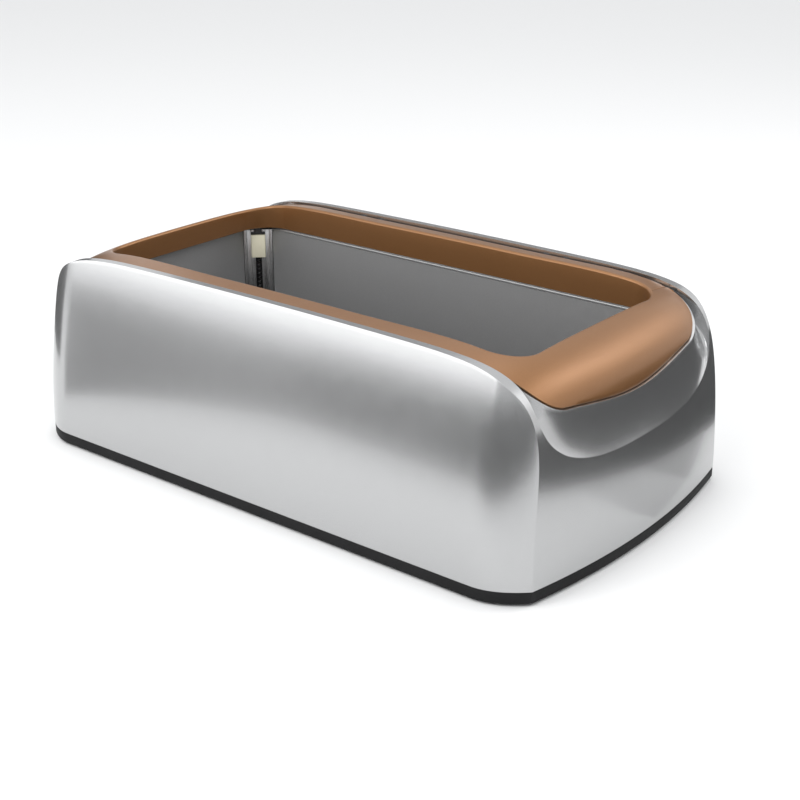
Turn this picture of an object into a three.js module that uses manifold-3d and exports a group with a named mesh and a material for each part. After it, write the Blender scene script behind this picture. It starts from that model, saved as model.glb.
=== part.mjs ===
// Automatic shoe cover dispenser: a floor-standing tray that the user steps into.
// Covers hang by T-shaped buckles in four corner rails, and sprung pushers keep the stack at the top.
// Millimetres, +Z up. +X is the front end, +Y the hinge side of the lid. Origin: centre of the footprint.
import * as THREE from 'three';
import { mergeVertices } from 'three/addons/utils/BufferGeometryUtils.js';
import Module from 'manifold-3d';

// Body
const CORNER_X = 204; // half length at the vertical creases
const CORNER_Y = 106.6; // half width at the vertical creases
const END_BULGE = 11; // how far each end stands out in the middle
const HALF_WIDTH = 122.5;
const STRAIGHT_X = 172.5; // the side panels are straight in plan up to here
const SIDE_LEAN = 20; // how far the top of a side panel leans in
const LEAN_POWER = 1.8;
const CROWN_Z = 136.2; // highest point of the lid
const HOOP_Z = 135.2; // top of the hoops where their shoulders begin
const WALL = 2.8;
const GAP = 0.3;

// Base
const BASE_BOTTOM = 1.2;
const BASE_FLOOR = 5;
const BASE_TOP = 9;
const SHELL_BOTTOM = BASE_TOP + GAP;

// Channel between the hoops, in which the lid lies
const GROOVE_HALF = 97.2;
const GROOVE_SHOULDER_Z = 115;
const GROOVE_BOTTOM_Z = 72.5;
const GROOVE_SIDE_POWER = 3.3;
const GROOVE_FLOOR_POWER = 2.5;
const LIP_START = 150; // the shell's lip runs round each end from here
const SCOOP_TAPER = 0.0015; // growth of the scoop outline for each mm below the lip

// Lid
const LIP_X = 202.1;
const LIP_Z = 99.5;
const LID_HALF = 96;
const OUTLINE_X = 196; // plan corners of the lid and of the core under it
const OUTLINE_Y = 78.6;
const LID_PLATE = 3;
const SEAT_DROP = 4.2; // the shell's seat lies this far below the lid's top face
const RIM_X = 172;
const RIM_Y = 81.1;
const RIM_RADIUS = 22;
const SKIRT = 2.3;
const SKIRT_BOTTOM = 115;
const STRIP_END = 166;
const STRIP_INNER = 83.8;
const STRIP_THICK = 1.2;

// Lid hinge, along X under the far strip
const HINGE_Y = 92.3;
const HINGE_Z = 131.2;
const HINGE_X = 80;
const EDGE_RADIUS = 3.4;
const TROUGH_RADIUS = 6.2;
const KNUCKLE_RADIUS = 2;
const KNUCKLE_WIDTH = 10;
const LUG_WIDTH = 5;
const LUG_RADIUS = 1.9;
const PIN_RADIUS = 0.9;
const PIN_REACH = 11.5; // half length of a hinge pin
const PIN_HOLE = 1.2;

// Foot well
const WELL_X = 182;
const WELL_Y = 83.4;
const LINER = 1.2;
const LINER_TOP = 115.1;
const LINER_FLANGE = 2.8;
const SHELL_OPENING_X = 186;
const SHELL_OPENING_Y = 87;

// Corner rails, in their own frame: u along the face, v from the face into the corner
const RAIL_HALF = 11;
const RAIL_DEPTH = 7.5;
const RAIL_BACK_HALF = 8;
const RAIL_BOTTOM = 13.3;
const RAIL_TOP = 112;
const SLOT_HALF = 2.3;
const CHAMBER_HALF = 5.3;
const CHAMBER_FRONT = 2;
const CHAMBER_BACK = 6;
const FOOT_TOP = 21;
const BLOCK_BOTTOM = 91;
const BLOCK_TOP = 108.8;
const BLOCK_HALF = 5.5;
const BLOCK_FRONT = -4.2;
const TAIL_BOTTOM = 93;
const TAIL_TOP = 106;
const SPRING_RADIUS = 1.7;
const CATCH_TOP = 114.6;
const CATCH_FRONT = -3.4;

// Fasteners and small parts
const BASE_SCREW_X = [-120, 0, 120];
const BASE_SCREW_Y = 111;
const BASE_SCREW_HEAD = 4.1;
const BASE_SCREW_SHANK = 2;
const BOSS_RADIUS = 4.5;
const BOSS_TOP = 60;
const RAIL_SCREW_V = 4; // distance of the rail screw behind the rail's face
const RAIL_SCREW_HEAD = 3.4;
const RAIL_SCREW_SHANK = 1.8;
const HEAD_BOTTOM = 1.5;
const MAGNET_X = 60;
const MAGNET_Y = -90;
const MAGNET_TOP = 130.8;
const MAGNET_RADIUS = 5;
const STRIKE_RADIUS = 5.5;
const FOOT_X = 150;
const FOOT_Y = 100;
const FOOT_RADIUS = 10;
const FOOT_HEIGHT = 2.6;
const FAR = 260; // beyond the part in any direction

const wasm = await Module();
wasm.setup();

// ---- solids ----

// A closed geometry as a solid that can be joined and cut.
function solid(geometry) {
  const bare = geometry.clone();
  bare.deleteAttribute('normal');
  bare.deleteAttribute('uv');
  const merged = mergeVertices(bare, 1e-4);
  const vertProperties = new Float32Array(merged.attributes.position.array);
  const triVerts = new Uint32Array(merged.index.array);
  return new wasm.Manifold(new wasm.Mesh({ numProp: 3, vertProperties, triVerts }));
}

function geometryOf(manifold) {
  const mesh = manifold.getMesh();
  const geometry = new THREE.BufferGeometry();
  geometry.setAttribute('position', new THREE.BufferAttribute(mesh.vertProperties, 3));
  geometry.setIndex(new THREE.BufferAttribute(mesh.triVerts, 1));
  geometry.computeVertexNormals();
  return geometry;
}

function box(x0, x1, y0, y1, z0, z1) {
  const geometry = new THREE.BoxGeometry(x1 - x0, y1 - y0, z1 - z0);
  geometry.translate((x0 + x1) / 2, (y0 + y1) / 2, (z0 + z1) / 2);
  return solid(geometry);
}

function extrude(shape, from, to, basis, steps = 1, segments = 6) {
  const options = { depth: to - from, steps, curveSegments: segments, bevelEnabled: false };
  const geometry = new THREE.ExtrudeGeometry(shape, options);
  geometry.translate(0, 0, from);
  geometry.applyMatrix4(basis);
  return geometry;
}

const X = new THREE.Vector3(1, 0, 0);
const Y = new THREE.Vector3(0, 1, 0);
const Z = new THREE.Vector3(0, 0, 1);
const UPRIGHT = new THREE.Matrix4();
const ALONG_X = new THREE.Matrix4().makeBasis(Y, Z, X); // shape drawn in Y and Z
const ALONG_Y = new THREE.Matrix4().makeBasis(X, Z, Y.clone().negate()); // shape drawn in X and Z

function cylinderX(radius, x0, x1, y, z, sides = 14) {
  const geometry = new THREE.CylinderGeometry(radius, radius, x1 - x0, sides);
  geometry.rotateZ(Math.PI / 2);
  geometry.translate((x0 + x1) / 2, y, z);
  return solid(geometry);
}

function cylinderZ(radius, x, y, z0, z1, sides = 16) {
  const geometry = new THREE.CylinderGeometry(radius, radius, z1 - z0, sides);
  geometry.rotateX(Math.PI / 2);
  geometry.translate(x, y, (z0 + z1) / 2);
  return solid(geometry);
}

// Moves every vertex of a geometry by a rule.
function reshape(geometry, rule) {
  const position = geometry.attributes.position;
  const point = new THREE.Vector3();
  for (let i = 0; i < position.count; i += 1) {
    point.fromBufferAttribute(position, i);
    rule(point);
    position.setXYZ(i, point.x, point.y, point.z);
  }
  return geometry;
}

function roundedRectangle(halfX, halfY, radius) {
  const shape = new THREE.Shape();
  shape.absarc(halfX - radius, halfY - radius, radius, 0, Math.PI / 2);
  shape.absarc(radius - halfX, halfY - radius, radius, Math.PI / 2, Math.PI);
  shape.absarc(radius - halfX, radius - halfY, radius, Math.PI, 1.5 * Math.PI);
  shape.absarc(halfX - radius, radius - halfY, radius, 1.5 * Math.PI, 2 * Math.PI);
  return shape;
}

function polygon(points) {
  return new THREE.Shape(points.map(([x, y]) => new THREE.Vector2(x, y)));
}

// ---- body surfaces ----

// Long section: flat crowned top, large round shoulders, nearly upright ends.
function hoopSection(inset, bottom) {
  const top = HOOP_Z - inset;
  const end = CORNER_X - inset;
  const shape = new THREE.Shape();
  shape.moveTo(-end, bottom);
  shape.lineTo(-end, 20);
  shape.bezierCurveTo(3.5 - end, 130 - inset, 2 - end, top - 1.3, -100, top);
  shape.quadraticCurveTo(0, top + 1.3, 100, top);
  shape.bezierCurveTo(end - 2, top - 1.3, end - 3.5, 130 - inset, end, 20);
  shape.lineTo(end, bottom);
  return shape;
}

function bulgeEnds(point) {
  const across = 1 - (point.y / CORNER_Y) ** 2;
  point.x += Math.sign(point.x) * END_BULGE * across * (Math.abs(point.x) / CORNER_X) ** 4;
}

// Cross section: both side panels curve inward towards the top.
function sideSection(inset, bottom) {
  const steps = 7;
  const top = HOOP_Z + 6;
  const right = [];
  for (let i = 0; i <= steps; i += 1) {
    const z = bottom + ((top - bottom) * i) / steps;
    const rise = Math.max(0, z - BASE_TOP) / (HOOP_Z - BASE_TOP);
    right.push([HALF_WIDTH - inset - SIDE_LEAN * rise ** LEAN_POWER, z]);
  }
  const left = right.map(([y, z]) => [-y, z]).reverse();
  return polygon([...right, ...left]);
}

function curveSidesIn(point) {
  const past = Math.max(0, Math.abs(point.x) - STRAIGHT_X) / (CORNER_X - STRAIGHT_X);
  point.y -= Math.sign(point.y) * (HALF_WIDTH - CORNER_Y) * past ** 2;
}

// Moves evenly spaced stations along X so that all but one lie past the straight stretch.
function crowdStations(point) {
  const even = 32;
  const along = Math.abs(point.x);
  const inner = Math.min(along, even) * (STRAIGHT_X / even);
  point.x = Math.sign(point.x) * (inner + Math.max(0, along - even) / 2);
}

function bodySolid(inset, bottom) {
  const hoop = extrude(hoopSection(inset, bottom), -126, 126, ALONG_Y, 8, 8);
  const sides = extrude(sideSection(inset, bottom), -128, 128, ALONG_X, 8);
  reshape(sides, crowdStations);
  return solid(reshape(hoop, bulgeEnds)).intersect(solid(reshape(sides, curveSidesIn)));
}

// Footprint of the body and of the base.
function footprint(inset) {
  const x = CORNER_X - inset;
  const y = CORNER_Y - inset;
  const side = HALF_WIDTH - inset;
  const turn = (STRAIGHT_X + CORNER_X) / 2;
  const shape = new THREE.Shape();
  shape.moveTo(-STRAIGHT_X, -side);
  shape.lineTo(STRAIGHT_X, -side);
  shape.quadraticCurveTo(turn, -side, x, -y);
  shape.quadraticCurveTo(x + 2 * END_BULGE, 0, x, y);
  shape.quadraticCurveTo(turn, side, STRAIGHT_X, side);
  shape.lineTo(-STRAIGHT_X, side);
  shape.quadraticCurveTo(-turn, side, -x, y);
  shape.quadraticCurveTo(-x - 2 * END_BULGE, 0, -x, -y);
  shape.quadraticCurveTo(-turn, -side, -STRAIGHT_X, -side);
  return shape;
}

// ---- lid surfaces ----

// Long section under the lid's top face, lowered by drop.
function lidSection(drop, bottom) {
  const lip = LIP_X - drop;
  const brow = 195.5 - 0.8 * drop;
  const flat = 150 - 0.2 * drop;
  const shape = new THREE.Shape();
  shape.moveTo(-lip, bottom);
  shape.lineTo(-lip, LIP_Z - drop / 2);
  shape.bezierCurveTo(-brow, 142 - drop, -flat, 136.4 - drop, -60, 136 - drop);
  shape.quadraticCurveTo(0, CROWN_Z + 0.2 - drop, 60, 136 - drop);
  shape.bezierCurveTo(flat, 136.4 - drop, brow, 142 - drop, lip, LIP_Z - drop / 2);
  shape.lineTo(lip, bottom);
  return shape;
}

// The lid falls away towards its long edges, more so near its ends.
function crownLid(point) {
  const along = Math.abs(point.x);
  const crown = 1.2 + 2.8 * (along / 180) ** 3;
  point.x -= Math.sign(point.x) * 3.5 * (point.y / 80) ** 2 * (along / LIP_X) ** 4;
  point.z -= crown * (Math.abs(point.y) / 94) ** 4;
}

function lidBlank(drop, bottom) {
  const section = extrude(lidSection(drop, bottom), -98, 98, ALONG_Y, 10, 8);
  return solid(reshape(section, crownLid));
}

// Plan outline with rounded corners and bowed ends, shared by the lid and the shell's core below it.
function bowedOutline(grow, startX, startY, cornerX, cornerY) {
  const y = startY + grow;
  const turnX = cornerX - 3 + grow;
  const endX = cornerX + grow;
  const endY = cornerY + grow / 2;
  const shape = new THREE.Shape();
  shape.moveTo(-startX, -y);
  shape.lineTo(startX, -y);
  shape.quadraticCurveTo(turnX, -y, endX, -endY);
  shape.quadraticCurveTo(endX + 12.2, 0, endX, endY);
  shape.quadraticCurveTo(turnX, y, startX, y);
  shape.lineTo(-startX, y);
  shape.quadraticCurveTo(-turnX, y, -endX, endY);
  shape.quadraticCurveTo(-endX - 12.2, 0, -endX, -endY);
  shape.quadraticCurveTo(-turnX, -y, -startX, -y);
  return shape;
}

function lidOutline() {
  const outline = bowedOutline(0, 150, LID_HALF, OUTLINE_X, OUTLINE_Y);
  return solid(extrude(outline, 60, 150, UPRIGHT, 1, 8));
}

// ---- shell ----

// Cross section of the channel: upright walls, then a rounded floor that makes the U-shaped scoop edge.
function grooveSection(grow) {
  const steps = 9;
  const half = GROOVE_HALF + grow;
  const depth = GROOVE_SHOULDER_Z - GROOVE_BOTTOM_Z + grow;
  const points = [[half, 160]];
  for (let i = 0; i <= 2 * steps; i += 1) {
    const angle = (Math.PI * i) / (2 * steps);
    const across = Math.sign(Math.cos(angle)) * Math.abs(Math.cos(angle)) ** (2 / GROOVE_SIDE_POWER);
    const down = Math.sin(angle) ** (2 / GROOVE_FLOOR_POWER);
    points.push([half * across, GROOVE_SHOULDER_Z - depth * down]);
  }
  points.push([-half, 160]);
  return polygon(points.reverse());
}

function coreOutline(grow, from, to) {
  return extrude(bowedOutline(grow, 160, 97.5, OUTLINE_X, OUTLINE_Y), from, to, UPRIGHT, 1, 7);
}

// The scoop slope leans outward below the lip.
function taperCore(point) {
  const scale = 1 + SCOOP_TAPER * (LIP_Z - point.z);
  point.x *= scale;
  point.y *= scale;
}

// What stays inside the channel: the scoop slope at each end, the seat, and a lip that follows the lid.
function channelCore(grow, drop) {
  const lower = drop - SEAT_DROP;
  const inner = solid(coreOutline(grow - WALL, 50, 150));
  const middle = box(-LIP_START, LIP_START, -FAR, FAR, 0, FAR);
  const lip = lidBlank(lower + LID_PLATE + 0.5, 40).subtract(inner).subtract(middle);
  const ledge = box(-FAR, FAR, -99, 99, 40, LIP_Z - 3.5 - lower / 2);
  const top = lidBlank(drop, 40).add(ledge).add(lip);
  return solid(reshape(coreOutline(0.8 + grow, 55, 140), taperCore)).intersect(top);
}

function channel(grow) {
  const groove = solid(extrude(grooveSection(grow), -240, 240, ALONG_X));
  const core = channelCore(-grow, SEAT_DROP + grow);
  const trough = cylinderX(TROUGH_RADIUS + grow, -170 - grow, 170 + grow, HINGE_Y, HINGE_Z, 20);
  return groove.subtract(core).add(trough);
}

// A post for a base screw, tied to the side wall by a web.
function screwBoss(x, side) {
  const y = side * BASE_SCREW_Y;
  const wall = side * (HALF_WIDTH + 5);
  const post = cylinderZ(BOSS_RADIUS, x, y, BASE_FLOOR + GAP, BOSS_TOP);
  const web = box(x - 1.5, x + 1.5, Math.min(y, wall), Math.max(y, wall), BASE_TOP + 5, BOSS_TOP);
  return post.add(web.intersect(bodySolid(1, SHELL_BOTTOM)));
}

function hingeLug(x) {
  const x0 = x - LUG_WIDTH / 2;
  const x1 = x + LUG_WIDTH / 2;
  const eye = cylinderX(LUG_RADIUS, x0, x1, HINGE_Y, HINGE_Z);
  const stem = box(x0, x1, HINGE_Y - LUG_RADIUS, HINGE_Y + 1.1, 124, HINGE_Z);
  return eye.add(stem);
}

function lugPlaces() {
  const step = (KNUCKLE_WIDTH + LUG_WIDTH) / 2 + 0.5;
  return [-HINGE_X - step, -HINGE_X + step, HINGE_X - step, HINGE_X + step];
}

// A low wall round the opening, standing on the seat inside the lid's skirt.
function openingCurb() {
  const outline = roundedRectangle(SHELL_OPENING_X + 2.2, SHELL_OPENING_Y + 2.2, 14);
  const wall = solid(extrude(outline, SKIRT_BOTTOM + 0.6, 140, UPRIGHT));
  return wall.intersect(channelCore(-4, SEAT_DROP + 1));
}

function shellOpening() {
  const outline = roundedRectangle(SHELL_OPENING_X, SHELL_OPENING_Y, 12);
  return solid(extrude(outline, 60, 160, UPRIGHT));
}

function pinHole() {
  return cylinderX(PIN_HOLE, -HINGE_X - 20, HINGE_X + 20, HINGE_Y, HINGE_Z, 10);
}

function shellBosses() {
  const posts = BASE_SCREW_X.flatMap((x) => [screwBoss(x, 1), screwBoss(x, -1)]);
  const lugs = lugPlaces().map(hingeLug);
  const cups = [-MAGNET_X, MAGNET_X].map((x) => (
    cylinderZ(MAGNET_RADIUS + 1.8, x, MAGNET_Y, 125.5, MAGNET_TOP - 1)));
  return [...posts, ...lugs, ...cups];
}

function shellHoles() {
  const pilots = BASE_SCREW_X.flatMap((x) => [-BASE_SCREW_Y, BASE_SCREW_Y].map((y) => (
    cylinderZ(BASE_SCREW_SHANK + 0.3, x, y, 0, 24, 12))));
  const magnetSeats = [-MAGNET_X, MAGNET_X].map((x) => (
    cylinderZ(MAGNET_RADIUS + 0.4, x, MAGNET_Y, MAGNET_TOP - 2.8, 140)));
  const railPockets = corners().map((corner) => (
    solid(toCorner(extrude(railOutline(0.8), RAIL_BOTTOM, RAIL_TOP + 1, UPRIGHT), corner))));
  return [...pilots, ...magnetSeats, ...railPockets, shellOpening(), pinHole()];
}

function outerShell() {
  const inside = bodySolid(WALL, -5).subtract(channel(WALL - 0.2));
  let shell = bodySolid(0, SHELL_BOTTOM).subtract(channel(0)).subtract(inside).add(openingCurb());
  for (const boss of shellBosses()) {
    shell = shell.add(boss);
  }
  for (const hole of shellHoles()) {
    shell = shell.subtract(hole);
  }
  return shell;
}

// ---- lid ----

// Rounds the far edge about the hinge axis, so that it clears the hoop and the trough as the lid swings.
function hingeEdgeWaste() {
  const above = box(-FAR, FAR, HINGE_Y, 110, HINGE_Z, 150);
  const below = box(-170, 170, HINGE_Y, 110, HINGE_Z - 12, HINGE_Z);
  const keptAbove = cylinderX(EDGE_RADIUS, -FAR, FAR, HINGE_Y, HINGE_Z, 20);
  const keptBelow = cylinderX(TROUGH_RADIUS - 0.5, -FAR, FAR, HINGE_Y, HINGE_Z, 20);
  return above.subtract(keptAbove).add(below.subtract(keptBelow));
}

// The flange that hangs inside the opening, and the opening itself.
function lidSkirt() {
  const outline = roundedRectangle(RIM_X + SKIRT, RIM_Y + SKIRT, RIM_RADIUS + SKIRT);
  return solid(extrude(outline, SKIRT_BOTTOM, 150, UPRIGHT)).intersect(lidBlank(0.5, 40));
}

function rimOpening() {
  return solid(extrude(roundedRectangle(RIM_X, RIM_Y, RIM_RADIUS), 50, 160, UPRIGHT));
}

function knuckle(x) {
  const half = KNUCKLE_WIDTH / 2;
  const eye = cylinderX(KNUCKLE_RADIUS, x - half, x + half, HINGE_Y, HINGE_Z);
  const root = box(x - half, x + half, HINGE_Y - KNUCKLE_RADIUS, HINGE_Y, HINGE_Z, HINGE_Z + 1.5);
  return eye.add(root).intersect(lidBlank(STRIP_THICK + GAP, 40));
}

// Clearances under the lid for the side strip, the shell's hinge lugs and the strike plates.
// The far side of the lid between the strip's end seams, outside a line that follows the rim.
function stripSpan(grow) {
  const reach = STRIP_END + grow;
  const inner = STRIP_INNER - RIM_Y - grow;
  const rim = extrude(roundedRectangle(RIM_X + inner, RIM_Y + inner, RIM_RADIUS + inner), 50, 160, UPRIGHT);
  return box(-reach, reach, RIM_Y - RIM_RADIUS, 110, 90, 150).subtract(solid(rim));
}

function lidRecesses() {
  const span = stripSpan(GAP);
  const strip = span.subtract(lidBlank(STRIP_THICK + GAP, 40));
  const half = LUG_WIDTH / 2 + 0.5;
  const lugs = lugPlaces().map((x) => box(x - half, x + half, HINGE_Y - 2.6, 110, 120, 150));
  const plates = [-MAGNET_X, MAGNET_X].map((x) => (
    cylinderZ(STRIKE_RADIUS + 0.4, x, MAGNET_Y, 125, MAGNET_TOP + 1.6)));
  return { strip, pieces: [...lugs, ...plates, hingeEdgeWaste()] };
}

function lidFrame() {
  const recesses = lidRecesses();
  let lid = lidBlank(0, 40).subtract(lidBlank(LID_PLATE, 30)).intersect(lidOutline());
  lid = lid.subtract(box(-FAR, FAR, -110, 110, 0, LIP_Z - 3)).subtract(recesses.strip);
  lid = lid.add(knuckle(-HINGE_X)).add(knuckle(HINGE_X));
  for (const piece of recesses.pieces) {
    lid = lid.subtract(piece);
  }
  return lid.add(lidSkirt()).subtract(rimOpening()).subtract(pinHole());
}

function lidSideStrip() {
  const skin = lidBlank(0, 40).subtract(lidBlank(STRIP_THICK, 30)).intersect(lidOutline());
  const span = stripSpan(0);
  return skin.intersect(span).subtract(hingeEdgeWaste());
}

// ---- base and foot well ----

function footprintPrism(inset, z0, z1) {
  return solid(extrude(footprint(inset), z0, z1, UPRIGHT));
}

function wellBox(outset, z0, z1) {
  const x = WELL_X + LINER + outset;
  const y = WELL_Y + LINER + outset;
  return box(-x, x, -y, y, z0, z1);
}

function basePockets() {
  const screws = BASE_SCREW_X.flatMap((x) => [-BASE_SCREW_Y, BASE_SCREW_Y].flatMap((y) => [
    cylinderZ(BOSS_RADIUS + 0.6, x, y, BASE_FLOOR, 30),
    cylinderZ(BASE_SCREW_SHANK + 0.4, x, y, 0, 30, 12),
    cylinderZ(BASE_SCREW_HEAD + 0.4, x, y, 0, 3.2)]));
  const rails = corners().flatMap((corner) => {
    const [x, y] = railScrewPlace(corner);
    const [sx, sy] = corner;
    return [
      solid(toCorner(extrude(railFootOutline(0.4), BASE_FLOOR, 30, UPRIGHT), corner)),
      cylinderZ(RAIL_SCREW_SHANK + 0.3, x, y, 0, 30, 12),
      cylinderZ(RAIL_SCREW_HEAD + 0.4, x, y, 0, 3.4),
      cylinderZ(FOOT_RADIUS + GAP, sx * FOOT_X, sy * FOOT_Y, 0, FOOT_HEIGHT + GAP)];
  });
  return [...screws, ...rails];
}

// A shallow tray with an inner wall that locates the shell, and a curb that locates the liner panels.
function baseTray() {
  const rim = footprintPrism(0, BASE_BOTTOM, BASE_TOP).subtract(footprintPrism(4, BASE_FLOOR, BASE_TOP + 1));
  const locator = footprintPrism(WALL + 1.2, BASE_FLOOR - 1, BASE_TOP + 4);
  const locatorWaste = footprintPrism(WALL + 3, BASE_FLOOR - 2, 20);
  const curb = wellBox(2.3, BASE_FLOOR - 1, 11).subtract(wellBox(GAP, 0, 20));
  let tray = rim.add(locator.subtract(locatorWaste)).add(curb);
  for (const pocket of basePockets()) {
    tray = tray.subtract(pocket);
  }
  return tray;
}

// A liner wall with its top edge rolled outward. The section is drawn outward from the well.
function linerSection() {
  const shape = new THREE.Shape();
  const low = LINER_TOP - LINER;
  shape.moveTo(0, BASE_FLOOR + GAP);
  shape.lineTo(LINER, BASE_FLOOR + GAP);
  shape.lineTo(LINER, low);
  shape.lineTo(LINER_FLANGE, low);
  shape.lineTo(LINER_FLANGE, LINER_TOP);
  shape.lineTo(LINER, LINER_TOP);
  shape.absarc(LINER, low, LINER, Math.PI / 2, Math.PI);
  return shape;
}

function linerPanel(half, distance, turn) {
  const geometry = extrude(linerSection(), -half, half, ALONG_X, 1, 4);
  geometry.translate(0, distance, 0);
  geometry.rotateZ(turn);
  return geometry;
}

// ---- corner rails ----

function corners() {
  return [[-1, 1], [1, 1], [1, -1], [-1, -1]];
}

// Puts a piece drawn in (u, v) at a corner: v points from the well into that corner.
function toCorner(geometry, [sx, sy]) {
  const reach = RAIL_HALF / Math.SQRT2;
  geometry.rotateZ(Math.atan2(sy, sx) - Math.PI / 2);
  geometry.translate(sx * (WELL_X - reach), sy * (WELL_Y - reach), 0);
  return geometry;
}

function railScrewPlace([sx, sy]) {
  const reach = (RAIL_HALF - RAIL_SCREW_V) / Math.SQRT2;
  return [sx * (WELL_X - reach), sy * (WELL_Y - reach)];
}

function railOutline(grow) {
  const half = RAIL_HALF + grow;
  const back = RAIL_BACK_HALF + grow;
  const depth = RAIL_DEPTH + grow;
  return polygon([[-half, -grow], [half, -grow], [half, 3], [back, depth], [-back, depth], [-half, 3]]);
}

// Narrow in front, so that it passes between the liner panels, and wider behind them.
function railFootOutline(grow) {
  const half = RAIL_HALF + 1.8 + grow;
  const right = [[RAIL_HALF - 0.4 + grow, -1.8 - grow], [RAIL_HALF - 0.1 + grow, 0], [half, 2.4],
    [half, 4], [half - 3, 9.5 + grow]];
  const left = right.map(([u, v]) => [-u, v]).reverse();
  return polygon([...right, ...left]);
}

function cornerRail() {
  const bar = solid(extrude(railOutline(0), RAIL_BOTTOM, RAIL_TOP, UPRIGHT));
  const slot = box(-SLOT_HALF, SLOT_HALF, -1, CHAMBER_BACK - 0.5, 0, 200);
  const chamber = box(-CHAMBER_HALF, CHAMBER_HALF, CHAMBER_FRONT, CHAMBER_BACK, 0, 200);
  const flutes = [-7, 7].map((u) => box(u - 1.6, u + 1.6, -1, 0.6, 0, 200));
  return bar.subtract(slot).subtract(chamber).subtract(flutes[0]).subtract(flutes[1]);
}

function railFoot() {
  const block = solid(extrude(railFootOutline(0), BASE_FLOOR + GAP, FOOT_TOP, UPRIGHT));
  const pocket = solid(extrude(railOutline(GAP), RAIL_BOTTOM - GAP, 30, UPRIGHT));
  const view = box(-SLOT_HALF, SLOT_HALF, -5, 0, RAIL_BOTTOM, 30);
  const pilot = cylinderZ(RAIL_SCREW_SHANK + 0.3, 0, RAIL_SCREW_V, 0, RAIL_BOTTOM - 1, 12);
  return block.subtract(pocket).subtract(view).subtract(pilot);
}

// The block in front of the rail, with a neck through the slot and a tail in the chamber behind it.
function pusher() {
  const side = BLOCK_HALF;
  const front = BLOCK_FRONT;
  const block = new THREE.Shape();
  block.moveTo(-side, -0.4);
  block.lineTo(-side, front + 1);
  block.quadraticCurveTo(-side, front, 1 - side, front);
  block.lineTo(side - 1, front);
  block.quadraticCurveTo(side, front, side, front + 1);
  block.lineTo(side, -0.4);
  const neckHalf = SLOT_HALF - 0.4;
  const tailHalf = CHAMBER_HALF - 0.4;
  const face = solid(extrude(block, BLOCK_BOTTOM, BLOCK_TOP, UPRIGHT, 1, 4));
  const neck = box(-neckHalf, neckHalf, -1, CHAMBER_FRONT + 1, TAIL_BOTTOM, TAIL_TOP);
  const tail = box(-tailHalf, tailHalf, CHAMBER_FRONT + 0.4, CHAMBER_BACK - 0.4, TAIL_BOTTOM, TAIL_TOP);
  return face.add(neck).add(tail);
}

function pusherSpring() {
  const middle = (CHAMBER_FRONT + CHAMBER_BACK) / 2;
  return cylinderZ(SPRING_RADIUS, 0, middle, RAIL_BOTTOM + GAP, TAIL_BOTTOM - GAP, 12);
}

// The catch that holds the top buckle: a cap on the rail with a neck and two ears in front.
function railTopCatch() {
  const back = -GAP - 0.5;
  const cap = box(-RAIL_BACK_HALF, RAIL_BACK_HALF, -GAP, 5, RAIL_TOP + GAP, CATCH_TOP);
  const arm = box(-2.7, 2.7, CATCH_FRONT, 0, RAIL_TOP + 0.8, CATCH_TOP);
  const neck = box(-2.7, 2.7, CATCH_FRONT, back, BLOCK_TOP + 1, CATCH_TOP);
  const ears = box(-5.3, 5.3, CATCH_FRONT, back, BLOCK_TOP + GAP, BLOCK_TOP + 1.8);
  return cap.add(arm).add(neck).add(ears);
}

// ---- fasteners ----

// A slotted screw driven up from below.
function screw(x, y, headRadius, shankRadius, headHeight, tip) {
  const headTop = HEAD_BOTTOM + headHeight;
  const profile = [[0, HEAD_BOTTOM], [headRadius, HEAD_BOTTOM], [headRadius, headTop],
    [shankRadius, headTop], [shankRadius, tip - 2], [0, tip]];
  const geometry = new THREE.LatheGeometry(profile.map(([r, z]) => new THREE.Vector2(r, z)), 12);
  geometry.rotateX(Math.PI / 2);
  geometry.translate(x, y, 0);
  const reach = headRadius * 0.6;
  const slot = box(x - reach, x + reach, y - 0.5, y + 0.5, 0, HEAD_BOTTOM + 0.8);
  return solid(geometry).subtract(slot);
}

function baseScrew(x, y) {
  return screw(x, y, BASE_SCREW_HEAD, BASE_SCREW_SHANK, 1.4, 20);
}

function railScrew(corner) {
  return screw(...railScrewPlace(corner), RAIL_SCREW_HEAD, RAIL_SCREW_SHANK, 1.6, 12);
}

function rubberFoot([sx, sy]) {
  return cylinderZ(FOOT_RADIUS, sx * FOOT_X, sy * FOOT_Y, 0, FOOT_HEIGHT, 24);
}

// ---- assembly ----

function material(color, roughness, metalness) {
  return new THREE.MeshStandardMaterial({ color, roughness, metalness });
}

const SILVER = material(0xb4b5b8, 0.32, 0.6);
const BRONZE = material(0xa0734a, 0.35, 0.6);
const BLACK = material(0x1c1c1e, 0.6, 0);
const SATIN = material(0x8c8d8e, 0.3, 0.8);
const ALUMINIUM = material(0xa8aaad, 0.3, 1);
const NYLON = material(0xd6d2b8, 0.5, 0);
const STEEL = material(0x8f9296, 0.35, 1);
const RUBBER = material(0x141414, 0.85, 0);

const dispenser = new THREE.Group();

function add(name, piece, look) {
  const geometry = piece.isBufferGeometry ? piece : geometryOf(piece);
  const mesh = new THREE.Mesh(geometry, look);
  mesh.name = name;
  dispenser.add(mesh);
}

add('outer_shell', outerShell(), SILVER);
add('lid_frame', lidFrame(), BRONZE);
add('lid_side_strip', lidSideStrip(), BRONZE);
add('base_tray', baseTray(), BLACK);

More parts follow.
